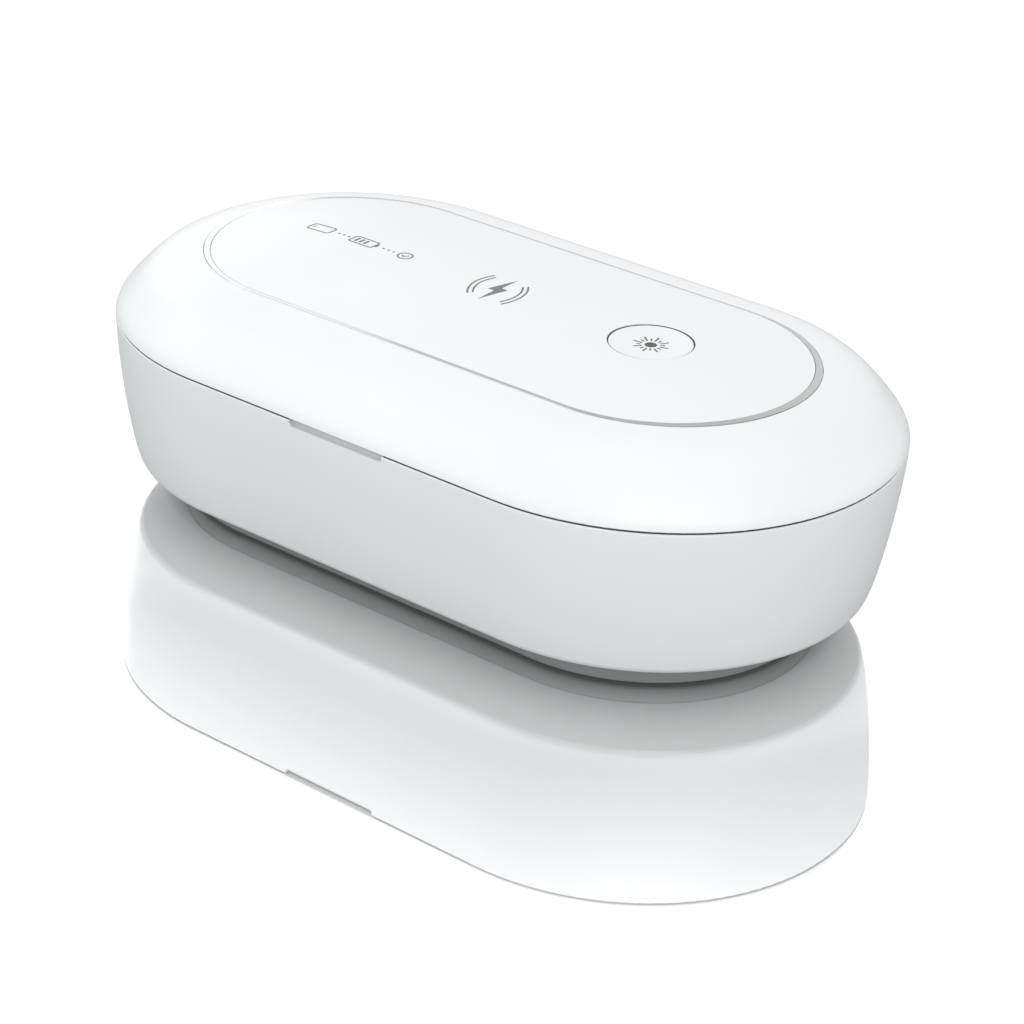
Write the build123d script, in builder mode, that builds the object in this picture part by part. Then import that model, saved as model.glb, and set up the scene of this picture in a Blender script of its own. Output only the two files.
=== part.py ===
from build123d import *
import os

os.makedirs("parts", exist_ok=True)

# ---------------------------------------------------------------------------
# Pill-shaped phone sanitizer box.  Millimetres, +Z up, X along the length,
# finger notch on -Y, hinge on +Y.  Origin: middle of the footprint, on the
# surface the box stands on.
# Every horizontal outline is a straight spine offset by a radius r(z), so
# cross-sections are written as (r, z) points and swept around the pill.
# ---------------------------------------------------------------------------

# driving dimensions -------------------------------------------------------
SPINE = 47.35            # half length of the spine of the body
SPINE_TOP = 48.2         # half length of the spine of the parts under the top panel
R_RIM = 62.62            # body radius at the parting line
Z_RIM_BASE = 49.7        # top of the base rim
Z_RIM_LID = 50.2         # bottom of the lid rim
WALL = 2.5               # shell wall
Z_PLINTH = 0.6           # underside of the plinth
Z_SKIRT = 4.4            # top of the plinth's rim, lowest point of the base shell
Z_SCREW = 8.6            # underside of the base shell's screw ledge
Z_FLOOR = 11.1           # top of that ledge
Z_TRAY = 19.5            # underside of the chamber floor
T_TRAY = 1.5             # tray wall
Z_LEDGE = 47.6           # ledge that carries the tray flange
Z_SHELF = 63.4           # shelf that carries the top panel and ring
SPINE_PANEL = 47.75      # spine of the top panel and of the ring's inner outline
SPINE_RING = 48.75       # spine of the ring's outer outline: the band widens round the ends
R_PANEL = 37.92          # top panel
R_RING_IN = 38.05        # trim ring, inner
R_RING_OUT = 38.95       # trim ring, outer
R_POCKET = 39.07         # pocket in the lid for ring and panel
Z_PANEL_EDGE = 66.15     # top of the panel at its edge
CROWN = 2.95             # crown of the panel above its edge
BTN_X = 45.6             # button centre
Z_BTN = 68.78            # rim of the button, just below the panel
R_BTN = 10.4             # button
R_BTN_HOLE = 10.7        # hole in the panel
TRAVEL = 0.5             # button travel
R_DISH = 72.0            # radius of the finger dish
Y_HINGE = 60.0           # hinge axis, parallel to X
Z_HINGE = 50.3
R_KNUCKLE = 2.4
R_GROOVE = 3.1
R_PIN = 1.0
NOTCH_W = 29.2           # finger notch
NOTCH_H = 1.55
NOTCH_D = 1.5
USB_Z = 17.03            # middle of the charging inlet
SCREW_PTS = [(x, y) for x in (-SPINE, SPINE) for y in (-38.3, 38.3)] + [(-SPINE - 38.3, 0), (SPINE + 38.3, 0)]
LID_SCREW_PTS = [(x, y) for x in (-SPINE, SPINE) for y in (-43.0, 43.0)] + [(-SPINE - 43.0, 0), (SPINE + 43.0, 0)]
LED_X = [-60, -20, 20, 60]

# outer curves, (radius, height)
BASE_OUT = [(57.45, 12.2), (58.1, 14.4), (58.9, 18.0), (59.8, 22.8), (60.6, 28.0),
            (61.3, 33.2), (61.88, 38.6), (62.35, 44.0), (R_RIM, 49.4)]
BASE_IN = [(54.5, 12.45), (55.4, 14.2), (56.4, 18.0), (58.1, 28.0), (59.4, 38.0), (60.05, 47.6)]
LID_OUT = [(R_RIM, 50.4), (61.85, 52.3), (60.55, 54.1), (58.8, 56.1), (57.0, 58.05), (55.0, 60.05),
           (52.4, 62.1), (48.6, 64.0), (44.3, 65.15), (39.6, 65.85)]
LID_IN = [(60.1, 50.6), (58.7, 52.5), (57.0, 54.4), (55.2, 56.4), (53.3, 58.3), (51.3, 60.0), (49.9, 60.9)]


def end_planes(half):
    """Section planes through the two end-arc centres, local x = outwards, local y = up."""
    return (
        Plane(origin=(half, 0, 0), x_dir=(0, -1, 0), z_dir=(-1, 0, 0)),
        Plane(origin=(-half, 0, 0), x_dir=(0, 1, 0), z_dir=(1, 0, 0)),
    )


def sweep_pill(sections, half, mode=Mode.ADD):
    """Sweep a pair of half cross-sections around the pill: two straights and two half turns."""
    for section, x in zip(sections, (half, -half)):
        extrude(section, amount=2 * half, mode=mode)
        revolve(section, axis=Axis((x, 0, 0), (0, 0, 1)), revolution_arc=180, mode=mode)


def ring_sections(half, points):
    """Half cross-sections with straight edges through the given (r, z) points."""
    out = []
    for plane in end_planes(half):
        with BuildSketch(plane) as s:
            with BuildLine():
                Polyline(*points, close=True)
            make_face()
        out.append(s.sketch)
    return out


def pill_tool(half, radius, z0, z1, mode=Mode.ADD):
    """Straight-sided pill between two heights."""
    with BuildSketch(Plane.XY.offset(z0)) as s:
        SlotCenterToCenter(2 * half, 2 * radius)
    extrude(s.sketch, amount=z1 - z0, mode=mode)


def hinge_plane():
    return Plane(origin=(0, Y_HINGE, Z_HINGE), x_dir=(1, 0, 0), z_dir=(0, -1, 0))


def turn_on_hinge(points, mode=Mode.ADD):
    """Solid of revolution about the hinge axis from (x, radius) points."""
    with BuildSketch(hinge_plane()) as s:
        with BuildLine():
            Polyline(*points, close=True)
        make_face()
    revolve(s.sketch, axis=Axis((0, Y_HINGE, Z_HINGE), (1, 0, 0)), revolution_arc=360, mode=mode)


def hinge_groove():
    turn_on_hinge([(-67.5, 0), (-67.5, 0.8), (-52, R_GROOVE), (52, R_GROOVE), (67.5, 0.8), (67.5, 0)], Mode.SUBTRACT)


def barrel(x0, x1, r=R_KNUCKLE, mode=Mode.ADD):
    turn_on_hinge([(x0, 0), (x0, r), (x1, r), (x1, 0)], mode)


def block(x0, x1, y0, y1, z0, z1, mode=Mode.ADD):
    with BuildSketch(Plane.XY.offset(z0)) as s:
        with Locations(((x0 + x1) / 2, (y0 + y1) / 2)):
            Rectangle(x1 - x0, y1 - y0)
    extrude(s.sketch, amount=z1 - z0, mode=mode)


def posts(points, radius, z0, z1, mode=Mode.ADD):
    with BuildSketch(Plane.XY.offset(z0)) as s:
        with Locations(*points):
            Circle(radius)
    extrude(s.sketch, amount=z1 - z0, mode=mode)


def wire(points, radius, bend):
    """Round lead along straight runs joined by tangent arcs."""
    with BuildLine() as path:
        FilletPolyline(*points, radius=bend)
    with BuildSketch(Plane(origin=path.line @ 0, z_dir=path.line % 0)) as s:
        Circle(radius)
    sweep(s.sketch, path=path.line)


def finish(part, name):
    part.part.label = name
    export_step(part.part, f"parts/{name}.step")
    print(f"{name:22s} volume {part.part.volume:10.1f}  solids {len(part.part.solids())}")


# ===========================================================================
# BASE
# ===========================================================================

# base shell: outer wall, turned-in bottom ledge, tray ledge, hinge barrels
sections = []
for plane in end_planes(SPINE):
    with BuildSketch(plane) as s:
        with BuildLine():
            # screw ledge, wall down to the plinth, slanted underside
            a = Polyline((34.5, Z_FLOOR), (34.5, Z_SCREW), (42.4, Z_SCREW), (42.4, Z_SKIRT), (45.1, Z_SKIRT), (56.3, 10.6))
            b0 = RadiusArc((56.3, 10.6), BASE_OUT[0], -2.6)
            b = Spline(*BASE_OUT)
            c = RadiusArc(BASE_OUT[-1], (R_RIM - 0.3, Z_RIM_BASE), -0.3)
            d = Line(c @ 1, (60.12, Z_RIM_BASE))
            e = Line(d @ 1, BASE_IN[-1])
            f = Spline(*reversed(BASE_IN))
            g = Polyline(BASE_IN[0], (45.3, 7.4), (43.9, 7.4), (43.6, Z_FLOOR), (34.5, Z_FLOOR))
        make_face()
    sections.append(s.sketch)
ledge = ring_sections(SPINE, [(60.9, Z_LEDGE), (55.2, Z_LEDGE), (55.2, 46.3), (60.6, 42.6)])

with BuildPart() as base_shell:
    sweep_pill(sections, SPINE)
    sweep_pill(ledge, SPINE)
    # hinge groove, then the fixed barrels and their roots
    hinge_groove()
    for side in (-1, 1):
        turn_on_hinge([(side * 38.25, 0), (side * 38.25, R_KNUCKLE), (side * 52, R_KNUCKLE), (side * 62, 0.8), (side * 62, 0)])
        x0, x1 = sorted((side * 18.5, side * 23.75))
        barrel(x0, x1)
    barrel(-10.0, -0.2)
    for x0, x1 in ((-51.5, -38.25), (-23.75, -18.5), (-10.0, -0.2), (18.5, 23.75), (38.25, 51.5)):
        block(x0, x1, 60.1, 61.8, 46.0, Z_HINGE)
    # pin bores
    for side in (-1, 1):
        x0, x1 = sorted((side * 18.4, side * 44.0))
        barrel(x0, x1, R_PIN, Mode.SUBTRACT)
    barrel(-10.1, -0.1, 1.1, Mode.SUBTRACT)
    # way for the loom through the tray ledge
    block(-17.2, -10.8, 56.2, 60.0, 42.0, 48.5, Mode.SUBTRACT)
    # finger notch in the front wall
    with BuildSketch(Plane(origin=(0, -R_RIM + NOTCH_D, 0), x_dir=(1, 0, 0), z_dir=(0, -1, 0))) as notch:
        with Locations((0, Z_RIM_BASE - NOTCH_H / 2 + 1.0)):
            Rectangle(NOTCH_W, NOTCH_H + 2.0)
        fillet(notch.vertices().group_by(Axis.Z)[0], 1.0)
    extrude(notch.sketch, amount=4, mode=Mode.SUBTRACT)
    # charging inlet opening with a shallow outer recess
    with BuildSketch(Plane(origin=(0, 52.0, USB_Z), x_dir=(-1, 0, 0), z_dir=(0, 1, 0))) as inlet:
        SlotOverall(9.7, 4.0)
    extrude(inlet.sketch, amount=10, mode=Mode.SUBTRACT)
    with BuildSketch(Plane(origin=(0, 57.75, USB_Z), x_dir=(-1, 0, 0), z_dir=(0, 1, 0))) as recess:
        SlotOverall(12.6, 6.6)
    extrude(recess.sketch, amount=4, taper=-8, mode=Mode.SUBTRACT)
    # screw holes and sensor pocket bosses
    posts(SCREW_PTS, 1.7, 5.0, 13.0, Mode.SUBTRACT)
    # pockets under the tray flange for the closing magnets
    posts([(-35, -57.4), (35, -57.4)], 1.55, 45.5, 48.0, Mode.SUBTRACT)
finish(base_shell, "base_shell")

# bottom cover: grey plinth that the box stands on
plinth = ring_sections(SPINE, [(0, Z_PLINTH), (44.1, Z_PLINTH), (44.4, 1.0), (44.85, Z_SKIRT), (43.0, Z_SKIRT), (42.8, 2.6), (0, 2.6)])
with BuildPart() as bottom_cover:
    sweep_pill(plinth, SPINE)
    posts(SCREW_PTS, 3.8, Z_PLINTH, Z_SCREW)
    posts(SCREW_PTS, 3.0, 0.0, 4.6, Mode.SUBTRACT)
    posts(SCREW_PTS, 1.7, 4.0, 9.0, Mode.SUBTRACT)
    posts([(x, y) for x in (-60, 60) for y in (-33, 33)], 6.1, 0.0, 1.6, Mode.SUBTRACT)
finish(bottom_cover, "bottom_cover")

# four rubber feet let into the plinth
with BuildPart() as rubber_feet:
    posts([(x, y) for x in (-60, 60) for y in (-33, 33)], 6.0, 0.0, 1.6)
    fillet(rubber_feet.edges().group_by(Axis.Z)[0], 0.3)
finish(rubber_feet, "rubber_feet")

# six self-tapping screws from below, through plinth and ledge into the tray posts
with BuildPart() as base_screws:
    posts(SCREW_PTS, 2.75, 2.6, 4.6)
    posts(SCREW_PTS, 1.4, 4.6, 17.5)
    with BuildSketch(Plane.XY.offset(2.6)) as cross:
        with Locations(*SCREW_PTS):
            Rectangle(3.2, 0.7)
            Rectangle(0.7, 3.2)
    extrude(cross.sketch, amount=1.1, mode=Mode.SUBTRACT)
finish(base_screws, "base_screws")

# chamber tray: reflective tub with a flange on the shell's ledge
sections = []
for plane in end_planes(SPINE):
    with BuildSketch(plane) as s:
        with BuildLine():
            a = Line((0, Z_TRAY), (47.0, Z_TRAY))
            b = JernArc(a @ 1, (1, 0), 4.5, 84)
            c = Line(b @ 1, (54.45, Z_LEDGE))
            d = Polyline(c @ 1, (59.6, Z_LEDGE), (59.6, 49.1), (53.4, 49.1))
            e = RadiusArc(d @ 1, (52.95, 48.6), -0.5)
            g = JernArc((47.0, 21.0), (1, 0), 3.0, 84)
            h = Line(e @ 1, g @ 1)
            i = Polyline((47.0, 21.0), (0, 21.0), (0, Z_TRAY))
        make_face()
    sections.append(s.sketch)
with BuildPart() as chamber_tray:
    sweep_pill(sections, SPINE)
    posts(SCREW_PTS, 3.0, Z_FLOOR, Z_TRAY + 0.2)
    posts(SCREW_PTS, 1.45, Z_FLOOR - 0.1, 18.4, Mode.SUBTRACT)
    # posts for the main board and for the LED strip
    posts([(x, y) for x in (-37, 37) for y in (18, 44)], 2.8, 15.4, Z_TRAY + 0.2)
    posts([(x, y) for x in (-37, 37) for y in (18, 44)], 1.05, 15.0, 19.0, Mode.SUBTRACT)
    posts([(-40, 0), (40, 0)], 2.4, 18.0, Z_TRAY + 0.2)
    posts([(-40, 0), (40, 0)], 1.05, 17.5, 19.6, Mode.SUBTRACT)
    # windows over the LEDs
    posts([(x, 0) for x in LED_X], 5.05, 19.0, 21.5, Mode.SUBTRACT)
    # flange cut back along the hinge, and a way for the loom
    block(-68, 68, 56.6, 66, 47.0, 50.0, Mode.SUBTRACT)
finish(chamber_tray, "chamber_tray")

# soft seal lying on the tray flange, just outside the chamber mouth
with BuildPart() as rim_gasket:
    sweep_pill(ring_sections(SPINE, [(54.6, 49.1), (56.4, 49.1), (56.4, 50.2), (55.9, 50.65), (55.1, 50.65), (54.6, 50.2)]), SPINE)
finish(rim_gasket, "rim_gasket")

# clear rails that hold a phone off the chamber floor
with BuildPart() as phone_rests:
    for x, half in ((-80, 27), (-40, 33), (40, 33), (80, 27)):
        with BuildSketch(Plane(origin=(x, -half, 0), x_dir=(1, 0, 0), z_dir=(0, -1, 0))) as rail:
            with BuildLine():
                Polyline((-2.0, 21.0), (2.0, 21.0), (1.2, 24.0))
                ThreePointArc((1.2, 24.0), (0, 24.7), (-1.2, 24.0))
                Line((-1.2, 24.0), (-2.0, 21.0))
            make_face()
        extrude(rail.sketch, amount=-2 * half)
finish(phone_rests, "phone_rests")

# quartz windows flush with the chamber floor
with BuildPart() as lower_windows:
    posts([(x, 0) for x in LED_X], 5.0, Z_TRAY, 21.0)
    chamfer(lower_windows.edges().group_by(Axis.Z)[-1], 0.3)
finish(lower_windows, "lower_windows")

# aluminium LED strip under the chamber floor
with BuildPart() as lower_led_board:
    with BuildSketch(Plane.XY.offset(17.0)) as strip:
        RectangleRounded(150, 12, 1.5)
        with Locations((-40, 0), (40, 0)):
            Circle(1.1, mode=Mode.SUBTRACT)
    extrude(amount=1.0)
finish(lower_led_board, "lower_led_board")


def led_set(z0, up):
    """Ceramic LED packages: square body with a smaller raised lens."""
    with BuildSketch(Plane.XY.offset(z0)) as s:
        with Locations(*[(x, 0) for x in LED_X]):
            RectangleRounded(3.6, 3.6, 0.3)
    extrude(s.sketch, amount=up * 0.8)
    with BuildSketch(Plane.XY.offset(z0 + up * 0.8)) as lens:
        with Locations(*[(x, 0) for x in LED_X]):
            Circle(1.3)
    extrude(lens.sketch, amount=up * 0.4, taper=12)


with BuildPart() as lower_leds:
    led_set(18.0, 1)
finish(lower_leds, "lower_leds")

with BuildPart() as lower_led_screws:
    posts([(-40, 0), (40, 0)], 1.8, 15.8, 17.0)
    posts([(-40, 0), (40, 0)], 1.0, 17.0, 19.4)
finish(lower_led_screws, "lower_led_screws")

# main board behind the chamber, its tongue reaching the rear wall
with BuildPart() as main_board:
    with BuildSketch(Plane.XY.offset(13.8)) as outline:
        with Locations((0, 31)):
            RectangleRounded(84, 34, 1.5)
        with Locations((0, 50.3)):
            Rectangle(26, 9.0)
        with Locations(*[(x, y) for x in (-37, 37) for y in (18, 44)]):
            Circle(1.15, mode=Mode.SUBTRACT)
    extrude(amount=1.6)
finish(main_board, "main_board")

with BuildPart() as control_chip:
    with BuildSketch(Plane.XY.offset(15.4)) as leads:
        with Locations((8, 30)):
            Rectangle(11.6, 11.6)
    extrude(amount=0.25)
    with BuildSketch(Plane.XY.offset(15.65)) as body:
        with Locations((8, 30)):
            Rectangle(10, 10)
    extrude(amount=1.3)
    chamfer(control_chip.edges().group_by(Axis.Z)[-1], 0.2)
finish(control_chip, "control_chip")

with BuildPart() as inductors:
    for x in (-24, -12):
        with BuildSketch(Plane.XY.offset(15.4)) as can:
            with Locations((x, 30)):
                RectangleRounded(8, 8, 1.6)
        extrude(amount=3.4)
finish(inductors, "inductors")

with BuildPart() as capacitors:
    posts([(-22, 24), (-12, 24), (22, 24)], 3.15, 6.0, 13.8)
    fillet(capacitors.edges().group_by(Axis.Z)[0], 0.4)
finish(capacitors, "capacitors")

# board connectors: loom at the rear, LED lead and sensor lead at the front edge
with BuildPart() as board_connectors:
    block(-17.5, -10.5, 41.5, 47.6, 15.4, 18.6)
    block(-23.0, -17.0, 15.0, 20.0, 15.4, 18.0)
    block(29.0, 33.5, 15.0, 20.0, 15.4, 18.0)
finish(board_connectors, "board_connectors")

with BuildPart() as board_screws:
    posts([(x, y) for x in (-37, 37) for y in (18, 44)], 2.2, 12.3, 13.8)
    posts([(x, y) for x in (-37, 37) for y in (18, 44)], 1.0, 13.8, 18.6)
finish(board_screws, "board_screws")

# charging inlet: folded metal sleeve with its contact tongue
INLET = Plane(origin=(0, 57.5, USB_Z), x_dir=(-1, 0, 0), z_dir=(0, 1, 0))
with BuildPart() as usb_c_receptacle:
    with BuildSketch(INLET) as outer:
        RectangleRounded(8.94, 3.26, 1.62)
    extrude(amount=-7.4)
    with BuildSketch(INLET) as inner:
        RectangleRounded(8.34, 2.56, 1.27)
    extrude(amount=-6.6, mode=Mode.SUBTRACT)
    with BuildSketch(INLET.offset(-6.8)) as tongue:
        RectangleRounded(6.7, 0.7, 0.2)
    extrude(amount=5.4)
finish(usb_c_receptacle, "usb_c_receptacle")

# lid sensor on a small carrier below the tray ledge, and its lead to the board
with BuildPart() as lid_sensor:
    block(28.5, 35.5, -58.4, -57.2, 37.0, 42.5)
    block(30.5, 33.5, -57.2, -56.0, 39.4, 42.0)
finish(lid_sensor, "lid_sensor")

with BuildPart() as sensor_lead:
    wire([(31.3, -56.6, 39.4), (31.3, -56.4, 33.0), (31.3, -53.6, 20.0), (31.3, -46.0, 16.2), (31.3, -16.0, 16.2), (31.3, 15.0, 16.2 + 0.001)], 0.6, 4.0)
finish(sensor_lead, "sensor_lead")

with BuildPart() as lower_led_lead:
    wire([(-20, 15.0, 16.7), (-20, 12.2, 16.7), (-20, 9.2, 17.5), (-20, 6.0, 17.5)], 0.45, 2.0)
finish(lower_led_lead, "lower_led_lead")

with BuildPart() as base_magnets:
    posts([(-35, -57.4), (35, -57.4)], 1.5, 45.6, Z_LEDGE)
finish(base_magnets, "base_magnets")

# two steel pins, tight in the fixed barrels and free in the lid barrels
with BuildPart() as hinge_pins:
    for side in (-1, 1):
        x0, x1 = sorted((side * 19.0, side * 43.8))
        barrel(x0, x1, R_PIN)
    chamfer(hinge_pins.edges().filter_by(GeomType.CIRCLE), 0.2)
finish(hinge_pins, "hinge_pins")

# loom, base half: from the board up the rear wall and onto the hinge axis
with BuildPart() as base_loom:
    wire([(-0.05, Y_HINGE, Z_HINGE), (-14.0, Y_HINGE, Z_HINGE), (-14.0, 57.9, 43.5), (-14.0, 54.6, 28.0), (-14.0, 53.0, 17.0), (-14.0, 47.6, 17.0)], 0.8, 2.9)
finish(base_loom, "base_loom")

# ===========================================================================
# LID
# ===========================================================================

# lid shell: domed cover with a pocket and shelf for the top panel
sections = []
for plane in end_planes(SPINE):
    with BuildSketch(plane) as s:
        with BuildLine():
            a = Line((0, 65.85), LID_OUT[-1])
            b = Spline(*LID_OUT)
            c = RadiusArc((R_RIM, 50.4), (R_RIM - 0.2, Z_RIM_LID), 0.2)
            d = Polyline(c @ 1, (60.1, Z_RIM_LID), LID_IN[0])
            e = Spline(*LID_IN)
            f = Polyline(LID_IN[-1], (47.6, 61.8), (0, 61.8), (0, 65.85))
        make_face()
    sections.append(s.sketch)
with BuildPart() as lid_shell:
    sweep_pill(sections, SPINE)
    pill_tool(SPINE_RING, R_POCKET, Z_SHELF, 67.0, Mode.SUBTRACT)
    pill_tool(SPINE_TOP, 32.0, 60.0, 65.0, Mode.SUBTRACT)
    hinge_groove()
    # moving barrels and their roots
    for x0, x1 in ((-38.0, -24.0), (0.2, 10.0), (24.0, 38.0)):
        barrel(x0, x1)
        block(x0, x1, 58.5, 60.4, Z_HINGE, 53.9)
    for side in (-1, 1):
        x0, x1 = sorted((side * 23.9, side * 38.1))
        barrel(x0, x1, R_PIN + 0.05, Mode.SUBTRACT)
    barrel(0.1, 10.1, 1.1, Mode.SUBTRACT)
    # screw posts for the reflector and pilot holes for the lid board
    posts(LID_SCREW_PTS, 3.0, 56.5, 62.2)
    posts(LID_SCREW_PTS, 1.25, 56.0, 62.0, Mode.SUBTRACT)
    posts([(x, y) for x in (-30, 30) for y in (-33.9, 33.9)], 1.05, 61.0, 63.0, Mode.SUBTRACT)
finish(lid_shell, "lid_shell")

# trim ring: plated band between shell and panel
with BuildPart() as trim_ring:
    sweep_pill(ring_sections(SPINE_RING, [(0, Z_SHELF), (R_RING_OUT, Z_SHELF), (R_RING_OUT, 65.82), (R_RING_OUT - 0.1, 65.92),
                                          (R_RING_OUT - 3.0, 66.08), (0, 66.08)]), SPINE_RING)
    pill_tool(SPINE_PANEL, R_RING_IN, 60.0, 70.0, Mode.SUBTRACT)
finish(trim_ring, "trim_ring")

# top panel: crowned plate with the button hole
R_CROWN = ((R_PANEL - 0.15) ** 2 + CROWN**2) / (2 * CROWN)
sections = []
for plane in end_planes(SPINE_PANEL):
    with BuildSketch(plane) as s:
        with BuildLine():
            a = RadiusArc((R_PANEL - 0.15, Z_PANEL_EDGE), (0, Z_PANEL_EDGE + CROWN), -R_CROWN)
            b = Line(a @ 1, (0, Z_PANEL_EDGE + CROWN - 2.0))
            c = RadiusArc(b @ 1, (36.0, 64.4), R_CROWN)
            d = Polyline(c @ 1, (36.0, Z_SHELF), (R_PANEL, Z_SHELF), (R_PANEL, Z_PANEL_EDGE - 0.15), (R_PANEL - 0.15, Z_PANEL_EDGE))
        make_face()
    sections.append(s.sketch)
with BuildPart() as top_panel:
    sweep_pill(sections, SPINE_PANEL)
    posts([(BTN_X, 0)], R_BTN_HOLE, 60.0, 72.0, Mode.SUBTRACT)
finish(top_panel, "top_panel")

# lid reflector: plated ceiling of the chamber
sections = []
for plane in end_planes(SPINE):
    with BuildSketch(plane) as s:
        with BuildLine():
            a = Polyline((53.0, 50.7), (58.5, 50.7), (58.5, 52.1), (54.6, 52.1), (52.9, 54.3))
            b = RadiusArc((52.9, 54.3), (48.6, 56.5), -5.0)
            c = Polyline((48.6, 56.5), (0, 56.5), (0, 55.0), (48.4, 55.0))
            d = RadiusArc((48.4, 55.0), (51.7, 53.2), 4.2)
            e = Line((51.7, 53.2), (53.0, 50.7))
        make_face()
    sections.append(s.sketch)
with BuildPart() as lid_reflector:
    sweep_pill(sections, SPINE)
    posts([(x, 0) for x in LED_X], 5.05, 54.0, 57.0, Mode.SUBTRACT)
    posts(LID_SCREW_PTS, 1.6, 54.0, 57.0, Mode.SUBTRACT)
    posts([(-40, 0), (40, 0)], 2.4, 56.4, 58.2)
    posts([(-40, 0), (40, 0)], 1.05, 56.0, 58.5, Mode.SUBTRACT)
    block(-68, 68, 56.6, 66, 50.0, 53.0, Mode.SUBTRACT)
    block(10.5, 17.5, 54.0, 66, 50.0, 54.2, Mode.SUBTRACT)
finish(lid_reflector, "lid_reflector")

with BuildPart() as lid_screws:
    posts(LID_SCREW_PTS, 2.6, 53.5, 55.0)
    fillet(lid_screws.edges().group_by(Axis.Z)[0], 0.6)
    posts(LID_SCREW_PTS, 1.2, 55.0, 61.6)
    with BuildSketch(Plane.XY.offset(53.5)) as cross:
        with Locations(*LID_SCREW_PTS):
            Rectangle(2.8, 0.6)
            Rectangle(0.6, 2.8)
    extrude(cross.sketch, amount=0.9, mode=Mode.SUBTRACT)
finish(lid_screws, "lid_screws")

with BuildPart() as upper_windows:
    posts([(x, 0) for x in LED_X], 5.0, 55.0, 56.5)
    chamfer(upper_windows.edges().group_by(Axis.Z)[0], 0.3)
finish(upper_windows, "upper_windows")

with BuildPart() as upper_led_board:
    with BuildSketch(Plane.XY.offset(58.2)) as strip:
        RectangleRounded(150, 12, 1.5)
        with Locations((-40, 0), (40, 0)):
            Circle(1.1, mode=Mode.SUBTRACT)
    extrude(amount=0.9)
finish(upper_led_board, "upper_led_board")

with BuildPart() as upper_leds:
    led_set(58.2, -1)
finish(upper_leds, "upper_leds")

with BuildPart() as upper_led_screws:
    posts([(-40, 0), (40, 0)], 1.8, 59.1, 59.9)
    posts([(-40, 0), (40, 0)], 1.0, 56.8, 59.1)
finish(upper_led_screws, "upper_led_screws")

# lid board, screwed under the shelf
with BuildPart() as lid_board:
    pill_tool(SPINE_TOP, 35.8, 60.2, 61.8)
    posts([(x, y) for x in (-30, 30) for y in (-33.9, 33.9)], 1.15, 60.0, 62.0, Mode.SUBTRACT)
finish(lid_board, "lid_board")

with BuildPart() as lid_board_screws:
    posts([(x, y) for x in (-30, 30) for y in (-33.9, 33.9)], 1.8, 58.8, 60.2)
    posts([(x, y) for x in (-30, 30) for y in (-33.9, 33.9)], 1.0, 60.2, 62.8)
finish(lid_board_screws, "lid_board_screws")

# connectors under the lid board: loom socket and link to the LED strip
with BuildPart() as lid_connectors:
    block(11.0, 17.0, 27.0, 33.0, 57.5, 60.2)
    block(-4.0, 4.0, -2.0, 2.0, 59.1, 60.2)
finish(lid_connectors, "lid_connectors")

# charging coil stack
with BuildPart() as coil_carrier:
    with BuildSketch(Plane.XY.offset(61.8)) as plate:
        RectangleRounded(52, 52, 4)
        Circle(8, mode=Mode.SUBTRACT)
    extrude(amount=1.6)
finish(coil_carrier, "coil_carrier")

with BuildPart() as ferrite_sheet:
    with BuildSketch(Plane.XY.offset(Z_SHELF)) as sheet:
        RectangleRounded(50, 50, 3)
    extrude(amount=0.9)
finish(ferrite_sheet, "ferrite_sheet")

with BuildPart() as charging_coil:
    with BuildSketch(Plane.XY.offset(64.3)) as coil:
        Circle(22)
        Circle(10.5, mode=Mode.SUBTRACT)
    extrude(amount=1.2)
    wire([(20.5, -2.0, 64.9), (28.0, -2.0, 64.9), (28.0, -2.0, 61.8)], 0.4, 1.5)
    wire([(20.5, 2.0, 64.9), (28.0, 2.0, 64.9), (28.0, 2.0, 61.8)], 0.4, 1.5)
finish(charging_coil, "charging_coil")

# tact switch under the button
with BuildPart() as switch_body:
    with BuildSketch(Plane.XY.offset(61.8)) as body:
        with Locations((BTN_X, 0)):
            RectangleRounded(6.2, 6.2, 0.4)
    extrude(amount=2.5)
    posts([(BTN_X, 0)], 1.85, 63.0, 65.0, Mode.SUBTRACT)
finish(switch_body, "switch_body")

with BuildPart() as lid_magnets:
    posts([(-35, -56.6), (35, -56.6)], 1.4, 52.1, 53.4)
finish(lid_magnets, "lid_magnets")

# loom, lid half: off the hinge axis, over the reflector to the lid board
with BuildPart() as lid_loom:
    wire([(0.05, Y_HINGE, Z_HINGE), (14.0, Y_HINGE, Z_HINGE), (14.0, 54.4, 55.5), (14.0, 47.5, 58.9), (14.0, 33.0, 58.9)], 0.8, 2.9)
finish(lid_loom, "lid_loom")

# ===========================================================================
# BUTTON
# ===========================================================================

# dished cap with a skirt, a retaining flange and a central stem
with BuildPart() as uv_button:
    with BuildSketch(Plane(origin=(BTN_X, 0, 0), x_dir=(1, 0, 0), z_dir=(0, -1, 0))) as cap:
        with BuildLine():
            a = Polyline((0, 65.3), (2.0, 65.3), (2.4, 67.1), (9.1, 67.1), (9.1, 65.4), (12.0, 65.4), (12.0, 66.2), (R_BTN, 66.2), (R_BTN, Z_BTN - 0.25))
            b = RadiusArc((R_BTN, Z_BTN - 0.25), (R_BTN - 0.25, Z_BTN), -0.25)
            c = Polyline((R_BTN - 0.25, Z_BTN), (0, Z_BTN), (0, 65.3))
        make_face()
    revolve(axis=Axis((BTN_X, 0, 0), (0, 0, 1)))
    # shallow finger dish, 0.7 deep
    with Locations((BTN_X, 0, Z_BTN - 0.7 + R_DISH)):
        Sphere(R_DISH, mode=Mode.SUBTRACT)
finish(uv_button, "uv_button")

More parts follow.
